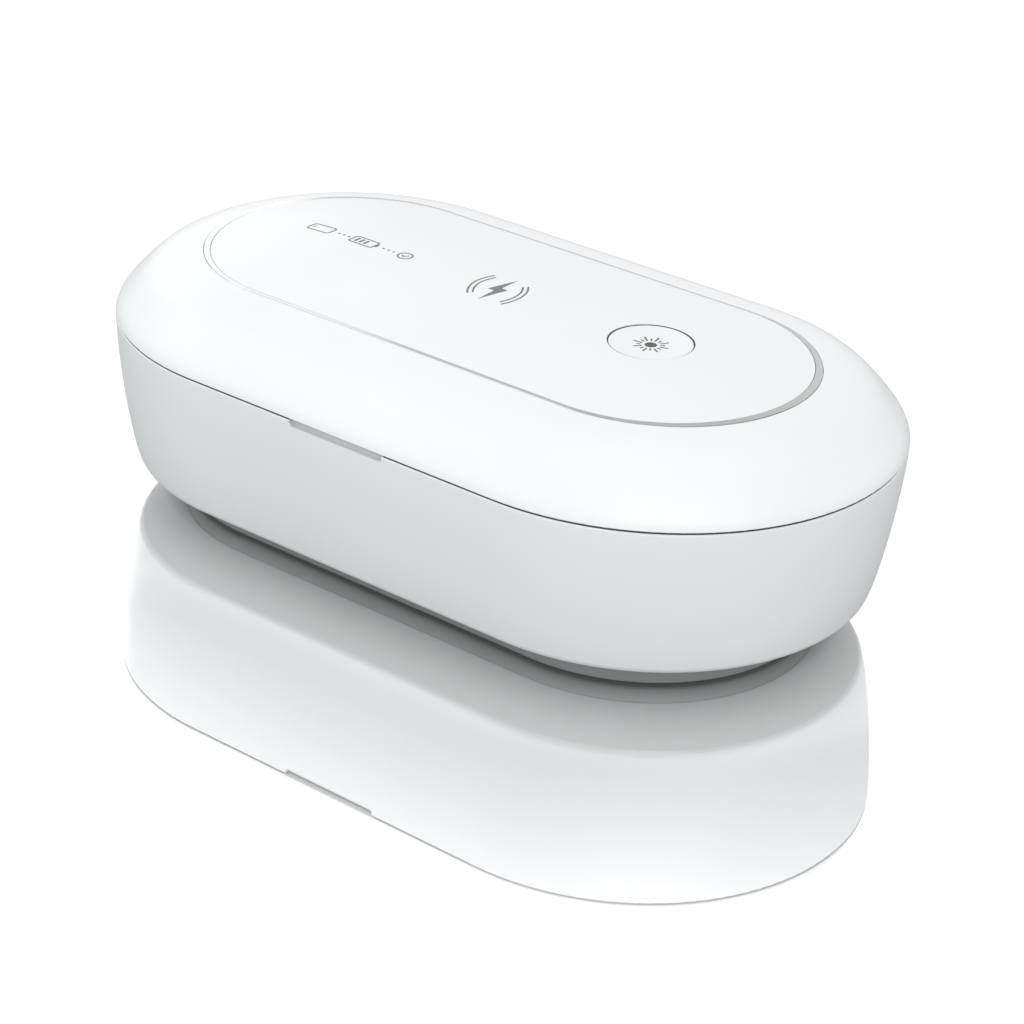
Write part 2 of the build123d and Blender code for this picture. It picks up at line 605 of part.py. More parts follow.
# plunger of the tact switch, which the stem rests on
with BuildPart() as switch_plunger:
    posts([(BTN_X, 0)], 1.75, 63.9, 65.3)
    chamfer(switch_plunger.edges().group_by(Axis.Z)[-1], 0.2)
finish(switch_plunger, "switch_plunger")
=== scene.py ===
import bpy
import bmesh
import math
from mathutils import Matrix, Vector
from mathutils.bvhtree import BVHTree


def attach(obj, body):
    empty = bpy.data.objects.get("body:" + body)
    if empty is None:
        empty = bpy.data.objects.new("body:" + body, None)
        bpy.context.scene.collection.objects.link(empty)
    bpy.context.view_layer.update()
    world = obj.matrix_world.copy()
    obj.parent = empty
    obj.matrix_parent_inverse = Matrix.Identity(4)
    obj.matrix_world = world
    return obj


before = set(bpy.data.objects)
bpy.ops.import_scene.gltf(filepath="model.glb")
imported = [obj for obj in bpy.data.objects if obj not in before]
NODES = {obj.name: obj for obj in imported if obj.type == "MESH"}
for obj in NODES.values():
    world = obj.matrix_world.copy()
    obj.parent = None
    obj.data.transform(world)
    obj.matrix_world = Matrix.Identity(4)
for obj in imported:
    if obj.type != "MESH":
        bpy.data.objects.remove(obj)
bpy.context.view_layer.update()
MM = 0.001

scene = bpy.context.scene
scene.view_settings.view_transform = "Standard"
scene.view_settings.look = "None"
scene.view_settings.exposure = 0.0
scene.view_settings.gamma = 1.0

# ---------------------------------------------------------------------------
# camera
# ---------------------------------------------------------------------------
cam_data = bpy.data.cameras.new("camera")
cam = bpy.data.objects.new("camera", cam_data)
scene.collection.objects.link(cam)
right = Vector((0.78377, 0.61939, 0.04535)).normalized()
up = Vector((-0.31351, 0.33157, 0.88982)).normalized()
back = right.cross(up).normalized()
up = back.cross(right).normalized()
m = Matrix((right, up, back)).transposed().to_4x4()
m.translation = Vector((0.39184, -0.51159, 0.33557))
cam.matrix_world = m
cam_data.sensor_width = 36.0
cam_data.sensor_fit = "HORIZONTAL"
cam_data.lens = 98.149
cam_data.clip_start = 0.01
cam_data.clip_end = 50.0
scene.camera = cam

# ---------------------------------------------------------------------------
# node helpers
# ---------------------------------------------------------------------------
def new_material(name):
    mat = bpy.data.materials.new(name)
    mat.use_nodes = True
    nt = mat.node_tree
    nt.nodes.clear()
    out = nt.nodes.new("ShaderNodeOutputMaterial")
    bsdf = nt.nodes.new("ShaderNodeBsdfPrincipled")
    nt.links.new(bsdf.outputs["BSDF"], out.inputs["Surface"])
    coord = nt.nodes.new("ShaderNodeTexCoord")
    return mat, nt, bsdf, coord


def noise(nt, coord, scale, detail=3.0, rough=0.55, stretch=None):
    """Noise in object space; scale is features per metre."""
    n = nt.nodes.new("ShaderNodeTexNoise")
    n.inputs["Scale"].default_value = scale
    n.inputs["Detail"].default_value = detail
    n.inputs["Roughness"].default_value = rough
    if stretch is None:
        nt.links.new(coord.outputs["Object"], n.inputs["Vector"])
    else:
        mp = nt.nodes.new("ShaderNodeMapping")
        mp.inputs["Scale"].default_value = stretch
        nt.links.new(coord.outputs["Object"], mp.inputs["Vector"])
        nt.links.new(mp.outputs["Vector"], n.inputs["Vector"])
    return n.outputs["Fac"]


def spread(nt, fac, low, high, a=0.3, b=0.7):
    """Map a 0..1 value to low..high."""
    r = nt.nodes.new("ShaderNodeMapRange")
    r.inputs["From Min"].default_value = a
    r.inputs["From Max"].default_value = b
    r.inputs["To Min"].default_value = low
    r.inputs["To Max"].default_value = high
    nt.links.new(fac, r.inputs["Value"])
    return r.outputs["Result"]


def tint(nt, fac, c0, c1, a=0.3, b=0.7):
    r = nt.nodes.new("ShaderNodeValToRGB")
    r.color_ramp.elements[0].position = a
    r.color_ramp.elements[0].color = (*c0, 1)
    r.color_ramp.elements[1].position = b
    r.color_ramp.elements[1].color = (*c1, 1)
    nt.links.new(fac, r.inputs["Fac"])
    return r.outputs["Color"]


def bump(nt, bsdf, height, strength, distance, below=None):
    b = nt.nodes.new("ShaderNodeBump")
    b.inputs["Strength"].default_value = strength
    b.inputs["Distance"].default_value = distance
    nt.links.new(height, b.inputs["Height"])
    if below is not None:
        nt.links.new(below, b.inputs["Normal"])
    nt.links.new(b.outputs["Normal"], bsdf.inputs["Normal"])
    return b.outputs["Normal"]


def moulded(name, c0, c1, r0, r1, grain=5200.0, grain_depth=0.000012, specular=0.5, coat=0.0, coat_rough=0.1):
    """Injection-moulded plastic: faint flow clouds in the colour, fine spark-eroded grain."""
    mat, nt, b, co = new_material(name)
    clouds = noise(nt, co, 26.0, 4.0, 0.5)
    nt.links.new(tint(nt, clouds, c0, c1), b.inputs["Base Color"])
    fine = noise(nt, co, grain, 2.0, 0.6)
    nt.links.new(spread(nt, noise(nt, co, 90.0, 3.0), r0, r1), b.inputs["Roughness"])
    bump(nt, b, fine, 0.35, grain_depth)
    b.inputs["Specular IOR Level"].default_value = specular
    b.inputs["Coat Weight"].default_value = coat
    b.inputs["Coat Roughness"].default_value = coat_rough
    return mat


def plated(name, c0, c1, r0, r1, stretch=None, scale=400.0, depth=0.000002, metal=1.0):
    """Metal with a drawn or brushed grain."""
    mat, nt, b, co = new_material(name)
    n = noise(nt, co, scale, 3.0, 0.6, stretch)
    nt.links.new(tint(nt, n, c0, c1), b.inputs["Base Color"])
    nt.links.new(spread(nt, n, r0, r1), b.inputs["Roughness"])
    b.inputs["Metallic"].default_value = metal
    bump(nt, b, n, 0.3, depth)
    return mat


def clear(name, colour, rough, ior, weight=1.0):
    mat, nt, b, co = new_material(name)
    n = noise(nt, co, 300.0, 2.0)
    nt.links.new(tint(nt, n, colour, tuple(min(1.0, c * 1.02) for c in colour)), b.inputs["Base Color"])
    nt.links.new(spread(nt, n, rough, rough * 1.8), b.inputs["Roughness"])
    b.inputs["Transmission Weight"].default_value = weight
    b.inputs["IOR"].default_value = ior
    return mat


# ---------------------------------------------------------------------------
# materials
# ---------------------------------------------------------------------------
M = {}
M["shell"] = moulded("shell_white", (0.845, 0.868, 0.874), (0.862, 0.884, 0.890), 0.30, 0.38, grain=1500.0, grain_depth=0.000002)
M["panel"] = moulded("panel_white", (0.840, 0.866, 0.872), (0.852, 0.877, 0.883), 0.30, 0.36, grain=1300.0, grain_depth=0.0000012)
M["button"] = moulded("button_white", (0.850, 0.872, 0.878), (0.864, 0.886, 0.892), 0.20, 0.26, grain=1300.0, grain_depth=0.0000010)
# painted shade: the plinth's grey stands in for the shade under the body's overhang near the floor
M["plinth"] = moulded("plinth_grey", (0.30, 0.31, 0.315), (0.34, 0.35, 0.355), 0.42, 0.55, grain=2600.0, grain_depth=0.00003)
M["rubber"] = moulded("foot_rubber", (0.045, 0.046, 0.048), (0.065, 0.066, 0.068), 0.62, 0.80, grain=1900.0, grain_depth=0.00004, specular=0.3)
M["seal"] = moulded("seal_grey", (0.42, 0.43, 0.44), (0.50, 0.51, 0.52), 0.55, 0.70, grain=1600.0, grain_depth=0.00003, specular=0.35)
# painted shade: this grey stands in for the shade inside the finger notch
M["liner"] = moulded("liner_grey", (0.61, 0.62, 0.625), (0.66, 0.67, 0.675), 0.50, 0.62, grain=1600.0, grain_depth=0.00001, specular=0.35)
M["ring"] = plated("trim_chrome", (0.54, 0.54, 0.54), (0.58, 0.58, 0.58), 0.07, 0.12, scale=900.0)
M["reflector"] = plated("vapour_plated", (0.78, 0.79, 0.80), (0.86, 0.87, 0.88), 0.10, 0.18, scale=60.0, depth=0.00002)
M["steel"] = plated("zinc_steel", (0.46, 0.47, 0.48), (0.60, 0.61, 0.62), 0.25, 0.40, scale=1600.0, depth=0.000008)
M["pin"] = plated("ground_steel", (0.52, 0.53, 0.54), (0.62, 0.63, 0.64), 0.18, 0.28, stretch=(60, 1600, 1600), scale=1.0, depth=0.000004)
M["inlet"] = plated("nickel_sleeve", (0.50, 0.50, 0.49), (0.62, 0.62, 0.61), 0.22, 0.34, stretch=(1200, 200, 1200), scale=1.0, depth=0.000004)
M["magnet"] = plated("nickel_magnet", (0.55, 0.55, 0.54), (0.66, 0.66, 0.65), 0.16, 0.28, scale=900.0, depth=0.000006)
M["strip"] = moulded("led_strip", (0.72, 0.73, 0.73), (0.80, 0.81, 0.81), 0.35, 0.5, grain=2400.0, grain_depth=0.000008)
M["led"] = moulded("led_ceramic", (0.70, 0.62, 0.40), (0.82, 0.74, 0.52), 0.25, 0.40, grain=3200.0, grain_depth=0.000006)
M["board"] = moulded("board_green", (0.010, 0.080, 0.035), (0.018, 0.125, 0.055), 0.28, 0.42, grain=1200.0, grain_depth=0.00001, coat=0.4)
M["chip"] = moulded("chip_black", (0.018, 0.018, 0.020), (0.034, 0.034, 0.036), 0.45, 0.60, grain=3800.0, grain_depth=0.00001)
M["ivory"] = moulded("connector_ivory", (0.70, 0.66, 0.54), (0.80, 0.76, 0.64), 0.38, 0.50, grain=2400.0, grain_depth=0.00001)
M["jacket"] = moulded("wire_jacket", (0.028, 0.028, 0.030), (0.050, 0.050, 0.052), 0.45, 0.60, grain=2400.0, grain_depth=0.00002)
M["can"] = plated("can_aluminium", (0.66, 0.67, 0.68), (0.78, 0.79, 0.80), 0.24, 0.36, stretch=(300, 300, 3000), scale=1.0, depth=0.000006)
M["ferrite"] = moulded("ferrite", (0.030, 0.030, 0.032), (0.055, 0.052, 0.050), 0.55, 0.75, grain=1600.0, grain_depth=0.00003)
M["copper"] = plated("copper_litz", (0.62, 0.26, 0.11), (0.80, 0.38, 0.18), 0.28, 0.42, scale=2200.0, depth=0.00004)
M["quartz"] = clear("quartz", (0.97, 0.98, 0.99), 0.02, 1.46)
M["rail"] = clear("clear_rail", (0.90, 0.93, 0.94), 0.38, 1.49, 0.35)
M["ink"] = moulded("grey_ink", (0.150, 0.155, 0.158), (0.190, 0.195, 0.198), 0.35, 0.5, grain=5200.0, grain_depth=0.000004)
M["ink_dark"] = moulded("dark_ink", (0.060, 0.062, 0.063), (0.085, 0.087, 0.088), 0.35, 0.5, grain=1600.0, grain_depth=0.000002)
M["gold"] = plated("gold_contact", (0.80, 0.56, 0.22), (0.90, 0.68, 0.32), 0.18, 0.28, scale=2600.0, depth=0.000004)

FINISH = {
    "base_shell": "shell", "lid_shell": "shell", "bottom_cover": "plinth", "rubber_feet": "rubber", "base_screws": "steel",
    "chamber_tray": "reflector", "rim_gasket": "seal", "phone_rests": "rail", "lower_windows": "quartz", "upper_windows": "quartz",
    "lower_led_board": "strip", "upper_led_board": "strip", "lower_leds": "led", "upper_leds": "led",
    "lower_led_screws": "steel", "upper_led_screws": "steel", "main_board": "board", "lid_board": "board",
    "control_chip": "chip", "inductors": "chip", "capacitors": "can", "board_connectors": "ivory", "lid_connectors": "ivory",
    "board_screws": "steel", "lid_board_screws": "steel", "usb_c_receptacle": "inlet", "lid_sensor": "chip",
    "sensor_lead": "jacket", "lower_led_lead": "jacket", "base_loom": "jacket", "lid_loom": "jacket",
    "base_magnets": "magnet", "lid_magnets": "magnet", "hinge_pins": "pin", "trim_ring": "ring", "top_panel": "panel",
    "lid_reflector": "reflector", "lid_screws": "steel", "coil_carrier": "ivory", "ferrite_sheet": "ferrite",
    "charging_coil": "copper", "switch_body": "chip", "uv_button": "button", "switch_plunger": "ivory",
}
for name, node in NODES.items():
    node.data.materials.clear()
    node.data.materials.append(M[FINISH[name]])


# ---------------------------------------------------------------------------
# printed marks: thin closed solids that follow the face they are printed on
# ---------------------------------------------------------------------------
def height_of(node):
    """Height of a node's top face over a point (x, y), in metres."""
    me = NODES[node].data
    tree = BVHTree.FromPolygons([v.co[:] for v in me.vertices], [p.vertices[:] for p in me.polygons])
    return lambda x, y: tree.ray_cast(Vector((x, y, 0.2)), Vector((0, 0, -1)))[0].z


def split_line(points, step, closed=False):
    """The same line with a point at least every step."""
    out = []
    n = len(points)
    for i in range(n if closed else n - 1):
        (x0, y0), (x1, y1) = points[i], points[(i + 1) % n]
        k = max(1, math.ceil(math.hypot(x1 - x0, y1 - y0) / step))
        out += [(x0 + (x1 - x0) * j / k, y0 + (y1 - y0) * j / k) for j in range(k)]
    if not closed:
        out.append(points[-1])
    return out


def stroke(points, width, closed=False, step=0.8):
    """Band of even width along a line; returns flat vertices and faces in millimetres."""
    pts = split_line(points, step, closed)
    n = len(pts)
    left, right_side = [], []
    for i, (x, y) in enumerate(pts):
        ax, ay = pts[(i - 1) % n] if closed or i > 0 else pts[i]
        bx, by = pts[(i + 1) % n] if closed or i < n - 1 else pts[i]
        d0 = Vector((x - ax, y - ay))
        d1 = Vector((bx - x, by - y))
        d0 = d0.normalized() if d0.length > 1e-9 else d1.normalized()
        d1 = d1.normalized() if d1.length > 1e-9 else d0
        t = (d0 + d1).normalized()
        nx, ny = -t.y, t.x
        m = 0.5 * width / max(0.5, t.dot(d1))
        left.append((x + nx * m, y + ny * m))
        right_side.append((x - nx * m, y - ny * m))
    faces = [(n + i, n + (i + 1) % n, (i + 1) % n, i) for i in range(n if closed else n - 1)]
    return left + right_side, faces


def blade(left, right_side):
    """Filled shape between a left and a right line of the same number of points, both going up."""
    n = len(left)
    return list(left) + list(right_side), [(i, n + i, n + i + 1, i + 1) for i in range(n - 1)]


def disc(cx, cy, r, n=36):
    verts = [(cx, cy)]
    for k in (0.5, 1.0):
        verts += [(cx + r * k * math.cos(2 * math.pi * i / n), cy + r * k * math.sin(2 * math.pi * i / n)) for i in range(n)]
    faces = [(0, 1 + i, 1 + (i + 1) % n) for i in range(n)]
    faces += [(1 + i, 1 + n + i, 1 + n + (i + 1) % n, 1 + (i + 1) % n) for i in range(n)]
    return verts, faces


def rounded(cx, cy, w, h, r, n=6):
    """Closed outline of a rounded rectangle."""
    out = []
    for sx, sy, a0 in ((1, -1, -90), (1, 1, 0), (-1, 1, 90), (-1, -1, 180)):
        for i in range(n + 1):
            a = math.radians(a0 + 90 * i / n)
            out.append((cx + sx * (w / 2 - r) + r * math.cos(a), cy + sy * (h / 2 - r) + r * math.sin(a)))
    return out


def arc_line(cx, cy, r, a0, a1, n):
    return [(cx + r * math.cos(math.radians(a0 + (a1 - a0) * i / n)), cy + r * math.sin(math.radians(a0 + (a1 - a0) * i / n))) for i in range(n + 1)]


def printed(name, shapes, node, body, material, proud=0.03, sunk=0.08):
    """One piece from flat shapes, laid on the top face of a node."""
    z = height_of(node)
    verts, faces = [], []
    for flat, polys in shapes:
        base = len(verts)
        k = len(flat)
        tops = [(x * MM, y * MM, z(x * MM, y * MM)) for x, y in flat]
        verts += [(x, y, h + proud * MM) for x, y, h in tops]
        verts += [(x, y, h - sunk * MM) for x, y, h in tops]
        edges = {(p[i], p[(i + 1) % len(p)]) for p in polys for i in range(len(p))}
        for p in polys:
            faces.append(tuple(base + i for i in p))
            faces.append(tuple(base + k + i for i in reversed(p)))
        faces += [(base + k + a, base + k + b, base + b, base + a) for a, b in sorted(edges) if (b, a) not in edges]
    me = bpy.data.meshes.new(name)
    me.from_pydata(verts, [], faces)
    me.validate()
    me.update()
    ob = bpy.data.objects.new(name, me)
    me.materials.append(material)
    scene.collection.objects.link(ob)
    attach(ob, body)
    return ob


# charging mark in the middle of the panel: a bolt between two pairs of arcs
def up_line(points, ys):
    """x of a line of (x, y) points at each height y."""
    out = []
    for y in ys:
        for (x0, y0), (x1, y1) in zip(points, points[1:]):
            if min(y0, y1) - 1e-9 <= y <= max(y0, y1) + 1e-9 and abs(y1 - y0) > 1e-9:
                out.append((x0 + (x1 - x0) * (y - y0) / (y1 - y0), y))
                break
    return out


CHARGE_X, CHARGE_Y = -0.95, -0.7
shapes = []
for ys, lo, hi in (
    ([-7.9 + 6.7 * i / 8 for i in range(9)], [(0.0, -7.9), (-0.28, -1.2)], [(0.0, -7.9), (2.17, 1.15)]),
    ([-1.2 + 2.4 * i / 4 for i in range(5)], [(-2.17, -1.2), (0.0, 7.9)], [(0.0, -7.9), (2.17, 1.2)]),
    ([1.2 + 6.7 * i / 8 for i in range(9)], [(-2.17, -1.2), (0.0, 7.9)], [(0.28, 1.2), (0.0, 7.9)]),
):
    a, b = up_line(lo, ys), up_line(hi, ys)
    if ys[0] < -7.8:
        a[0], b[0] = (-0.02, -7.9), (0.02, -7.9)
    if ys[-1] > 7.8:
        a[-1], b[-1] = (-0.02, 7.9), (0.02, 7.9)
    shapes.append(blade([(x + CHARGE_X, y + CHARGE_Y) for x, y in a], [(x + CHARGE_X, y + CHARGE_Y) for x, y in b]))
ARC_OUT = arc_line(4.97, 1.45, 12.4, 155.0, 221.5, 18)
ARC_IN = arc_line(4.97, 1.45, 11.05, 157.0, 219.5, 16)
for turn in (0, 180):
    c, s_ = math.cos(math.radians(turn)), math.sin(math.radians(turn))
    for pts in (ARC_OUT, ARC_IN):
        shapes.append(stroke([(c * x - s_ * y + CHARGE_X, s_ * x + c * y + CHARGE_Y) for x, y in pts], 0.5))
printed("charge_mark", shapes, "top_panel", "lid", M["ink"])

# status row at the far end of the panel: phone outline, dots, battery with bars, dots, tick in a ring
ROW_X, ROW_W = -47.0, 0.5
shapes = [stroke(rounded(ROW_X - 13.2, 0, 7.4, 4.0, 0.9), ROW_W, True, 1.0), stroke([(ROW_X - 15.6, -0.8), (ROW_X - 15.6, 0.8)], 0.36)]
shapes += [disc(ROW_X - 7.2 + 1.7 * i, 0, 0.36, 18) for i in range(3)]
shapes += [stroke(rounded(ROW_X + 1.4, 0, 7.6, 4.0, 0.7), ROW_W, True, 1.0), stroke([(ROW_X + 5.75, -0.75), (ROW_X + 5.75, 0.75)], 0.6)]
shapes += [stroke([(ROW_X - 0.9 + 1.5 * i, -1.15), (ROW_X - 0.9 + 1.5 * i, 1.15)], 0.8) for i in range(3)]
shapes += [disc(ROW_X + 8.0 + 1.7 * i, 0, 0.36, 18) for i in range(3)]
shapes += [stroke(arc_line(ROW_X + 15.2, 0, 1.95, 0, 360, 36)[:-1], ROW_W, True, 1.0), stroke([(ROW_X + 14.3, 0.05), (ROW_X + 15.0, -0.7), (ROW_X + 16.2, 0.8)], 0.4)]
printed("status_marks", shapes, "top_panel", "lid", M["ink"])

# sun mark in the dish of the button: disc with long and short rays in turn
SUN_X, SUN_Y = 45.6, 0.0
shapes = [disc(SUN_X, SUN_Y, 1.5)]
for i in range(16):
    a = math.radians(10.5 + 22.5 * i)
    r1 = 4.6 if i % 2 == 0 else 3.5
    shapes.append(stroke([(SUN_X + 2.35 * math.cos(a), SUN_Y + 2.35 * math.sin(a)), (SUN_X + r1 * math.cos(a), SUN_Y + r1 * math.sin(a))], 0.42))
printed("sun_mark", shapes, "uv_button", "button", M["ink_dark"])

# contact fingers on both faces of the inlet's tongue
def inlet_contacts():
    verts, faces = [], []
    for side in (-1, 1):
        for i in range(12):
            x = -2.75 + 0.5 * i
            for_z = (17.03 + side * 0.33, 17.03 + side * 0.375)
            z0, z1 = min(for_z), max(for_z)
            y0, y1 = 53.2, 55.95 if i in (0, 3, 8, 11) else 55.7
            b = len(verts)
            verts += [(px * MM, py * MM, pz * MM) for pz in (z0, z1) for px, py in ((x - 0.13, y0), (x + 0.13, y0), (x + 0.13, y1 - 0.08), (x + 0.07, y1), (x - 0.07, y1), (x - 0.13, y1 - 0.08))]
            faces += [tuple(b + j for j in (5, 4, 3, 2, 1, 0)), tuple(b + 6 + j for j in range(6))]
            faces += [(b + j, b + (j + 1) % 6, b + 6 + (j + 1) % 6, b + 6 + j) for j in range(6)]
    me = bpy.data.meshes.new("inlet_contacts")
    me.from_pydata(verts, [], faces)
    me.update()
    ob = bpy.data.objects.new("inlet_contacts", me)
    me.materials.append(M["gold"])
    scene.collection.objects.link(ob)
    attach(ob, "base")


inlet_contacts()


def piece(name, verts, faces, body, material, slot):
    """Closed mesh piece from vertices in millimetres."""
    me = bpy.data.meshes.new(name)
    me.from_pydata([(x * MM, y * MM, z * MM) for x, y, z in verts], [], faces)
    me.validate()
    bm = bmesh.new()
    bm.from_mesh(me)
    bmesh.ops.recalc_face_normals(bm, faces=bm.faces)
    bm.to_mesh(me)
    bm.free()
    me.update()
    ob = bpy.data.objects.new(name, me)
    me.materials.append(material)
    scene.collection.objects.link(ob)
    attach(ob, body)
    return ob


def swept(sections, closed):
    """Vertices and faces of a bar through a row of four-cornered sections."""
    n = len(sections)
    verts = [q for sec in sections for q in sec]
    faces = []
    for i in range(n if closed else n - 1):
        a, b = 4 * i, 4 * ((i + 1) % n)
        faces += [(a + j, a + (j + 1) % 4, b + (j + 1) % 4, b + j) for j in range(4)]
    if not closed:
        faces += [(3, 2, 1, 0), tuple(4 * (n - 1) + j for j in range(4))]
    return verts, faces


# painted shade: thin dark strip along the rim of the base, standing in for the shade in the seam under the lid, open at
# the hinge, set back behind the finger notch
SEAM_SHADE_SPINE = 47.35
stations = [(SEAM_SHADE_SPINE, math.radians(69 - 3 * i), 62.25) for i in range(54)]
stations += [(x, math.radians(-90), r) for x, r in ((31.0, 62.25), (14.95, 62.25), (14.85, 61.0), (0.0, 61.0), (-14.85, 61.0), (-14.95, 62.25), (-31.0, 62.25))]
stations += [(-SEAM_SHADE_SPINE, math.radians(-90 - 3 * i), 62.25) for i in range(54)]
sections = []
for x, a, r in stations:
    c, s_ = math.cos(a), math.sin(a)
    sections.append([(x + 60.3 * c, 60.3 * s_, 49.66), (x + r * c, r * s_, 49.66), (x + r * c, r * s_, 50.14), (x + 60.3 * c, 60.3 * s_, 50.14)])
piece("seam_shade_strip", *swept(sections, False), "base", M["rubber"], "foot_rubber")

# painted shade in the finger notch: grey back plate and a thin grey skin down the cheeks and along the floor, standing
# in for the shade inside the recess
outline = [(14.55, 49.62), (-14.55, 49.62)]
outline += [(-13.6 + 0.95 * math.cos(math.radians(180 + 15 * i)), 49.12 + 0.95 * math.sin(math.radians(180 + 15 * i))) for i in range(7)]
outline += [(13.6 + 0.95 * math.cos(math.radians(270 + 15 * i)), 49.12 + 0.95 * math.sin(math.radians(270 + 15 * i))) for i in range(7)]
n = len(outline)
verts = [(x, -61.26, z) for x, z in outline] + [(x, -61.08, z) for x, z in outline]
faces = [tuple(range(n)), tuple(reversed(range(n, 2 * n)))] + [(i, (i + 1) % n, n + (i + 1) % n, n + i) for i in range(n)]
turns = [(-13.6, 180 + 15 * i) for i in range(7)] + [(13.6, 270 + 15 * i) for i in range(7)]
skin = [((-14.63, 49.60), (-14.48, 49.60))]
skin += [tuple((cx + q * math.cos(math.radians(t)), 49.15 + q * math.sin(math.radians(t))) for q in (1.03, 0.88)) for cx, t in turns]
skin += [((14.63, 49.60), (14.48, 49.60))]
bar, bar_faces = swept([[(ox, -62.40, oz), (ox, -61.20, oz), (ix, -61.20, iz), (ix, -62.40, iz)] for (ox, oz), (ix, iz) in skin], False)
piece("notch_liner", verts + bar, faces + [tuple(len(verts) + i for i in f) for f in bar_faces], "base", M["liner"], "seal_grey")

# painted shade: dark ring in the gap round the button, standing in for the shade in the gap
panel_height = height_of("top_panel")
sections = []
for i in range(96):
    c, s_ = math.cos(2 * math.pi * i / 96), math.sin(2 * math.pi * i / 96)
    top = min(panel_height((45.6 + 10.95 * c) * MM, 10.95 * s_ * MM) / MM - 0.03, 68.80)
    sections.append([(45.6 + 10.45 * c, 10.45 * s_, 67.6), (45.6 + 10.68 * c, 10.68 * s_, 67.6), (45.6 + 10.68 * c, 10.68 * s_, top), (45.6 + 10.45 * c, 10.45 * s_, top)])
piece("button_gap_shade", *swept(sections, True), "lid", M["rubber"], "foot_rubber")

# ---------------------------------------------------------------------------
# stage: floor, world light, softboxes
# ---------------------------------------------------------------------------
SPINE = 47.35 * MM


def floor_material():
    """White glossy sheet whose mirror image is strong under the box and fades away from it."""
    mat = bpy.data.materials.new("studio_floor")
    mat.use_nodes = True
    nt = mat.node_tree
    nt.nodes.clear()
    out = nt.nodes.new("ShaderNodeOutputMaterial")
    geo = nt.nodes.new("ShaderNodeTexCoord")
    sep = nt.nodes.new("ShaderNodeSeparateXYZ")
    nt.links.new(geo.outputs["Object"], sep.inputs["Vector"])

    def math_node(op, a, b=None, c=None):
        n = nt.nodes.new("ShaderNodeMath")
        n.operation = op
        for i, v in enumerate((a, b, c)):
            if v is None:
                continue
            if isinstance(v, (int, float)):
                n.inputs[i].default_value = v
            else:
                nt.links.new(v, n.inputs[i])
        return n.outputs[0]

    # distance from the spine of the pill
    ax = math_node("ABSOLUTE", sep.outputs["X"])
    dx = math_node("MAXIMUM", math_node("SUBTRACT", ax, SPINE), 0.0)
    r = math_node("SQRT", math_node("ADD", math_node("MULTIPLY", dx, dx), math_node("MULTIPLY", sep.outputs["Y"], sep.outputs["Y"])))
    ramp = nt.nodes.new("ShaderNodeValToRGB")
    ramp.color_ramp.interpolation = "LINEAR"
    stops = [(0.050, 0.94), (0.056, 0.885), (0.064, 0.835), (0.073, 0.81), (0.079, 0.89), (0.086, 0.94), (0.100, 0.90), (0.120, 0.80), (0.135, 0.70), (0.170, 0.45), (0.24, 0.0)]
    el = ramp.color_ramp.elements
    while len(el) < len(stops):
        el.new(0.5)
    for e, (p, v) in zip(el, stops):
        e.position = p * 4.0
        e.color = (v, v, v, 1)
    nt.links.new(math_node("MULTIPLY", r, 4.0), ramp.inputs["Fac"])

    path = nt.nodes.new("ShaderNodeLightPath")
    tone = nt.nodes.new("ShaderNodeMapRange")
    tone.inputs["To Min"].default_value = 0.43
    tone.inputs["To Max"].default_value = 0.86
    nt.links.new(path.outputs["Is Camera Ray"], tone.inputs["Value"])
    diffuse = nt.nodes.new("ShaderNodeBsdfDiffuse")
    nt.links.new(tone.outputs["Result"], diffuse.inputs["Color"])
    glow = nt.nodes.new("ShaderNodeEmission")
    glow.inputs["Color"].default_value = (1, 1, 1, 1)
    nt.links.new(math_node("MULTIPLY", path.outputs["Is Camera Ray"], 0.6), glow.inputs["Strength"])
    both = nt.nodes.new("ShaderNodeAddShader")
    nt.links.new(diffuse.outputs[0], both.inputs[0])
    nt.links.new(glow.outputs[0], both.inputs[1])
    gloss = nt.nodes.new("ShaderNodeBsdfGlossy")
    # contact shadow close to the plinth
    near = nt.nodes.new("ShaderNodeValToRGB")
    near.color_ramp.interpolation = "LINEAR"
    steps = [(0.0, 0.42), (0.2, 0.47), (0.3, 0.57), (0.4, 0.68), (0.5, 0.78), (0.6, 0.89), (0.75, 1.0)]
    el = near.color_ramp.elements
    while len(el) < len(steps):
        el.new(0.5)
    for e, (p, v) in zip(el, steps):
        e.position = p
        e.color = (v, v, v, 1)
    nt.links.new(math_node("MULTIPLY", math_node("SUBTRACT", r, 0.044), 100.0), near.inputs["Fac"])
    nt.links.new(near.outputs["Color"], gloss.inputs["Color"])
    gloss.inputs["Roughness"].default_value = 0.0
    mix = nt.nodes.new("ShaderNodeMixShader")
    # the mirror image is for the eye; the light that the floor throws back on the box is soft
    share = math_node("MULTIPLY", ramp.outputs["Color"], path.outputs["Is Camera Ray"])
    nt.links.new(share, mix.inputs["Fac"])
    nt.links.new(both.outputs[0], mix.inputs[1])
    nt.links.new(gloss.outputs[0], mix.inputs[2])
    nt.links.new(mix.outputs[0], out.inputs["Surface"])
    return mat


bm = bmesh.new()
bmesh.ops.create_grid(bm, x_segments=1, y_segments=1, size=6.0)
floor_mesh = bpy.data.meshes.new("floor")
bm.to_mesh(floor_mesh)
bm.free()
floor = bpy.data.objects.new("floor", floor_mesh)
floor.location = (0, 0, -0.00005)
floor_mesh.materials.append(floor_material())
scene.collection.objects.link(floor)


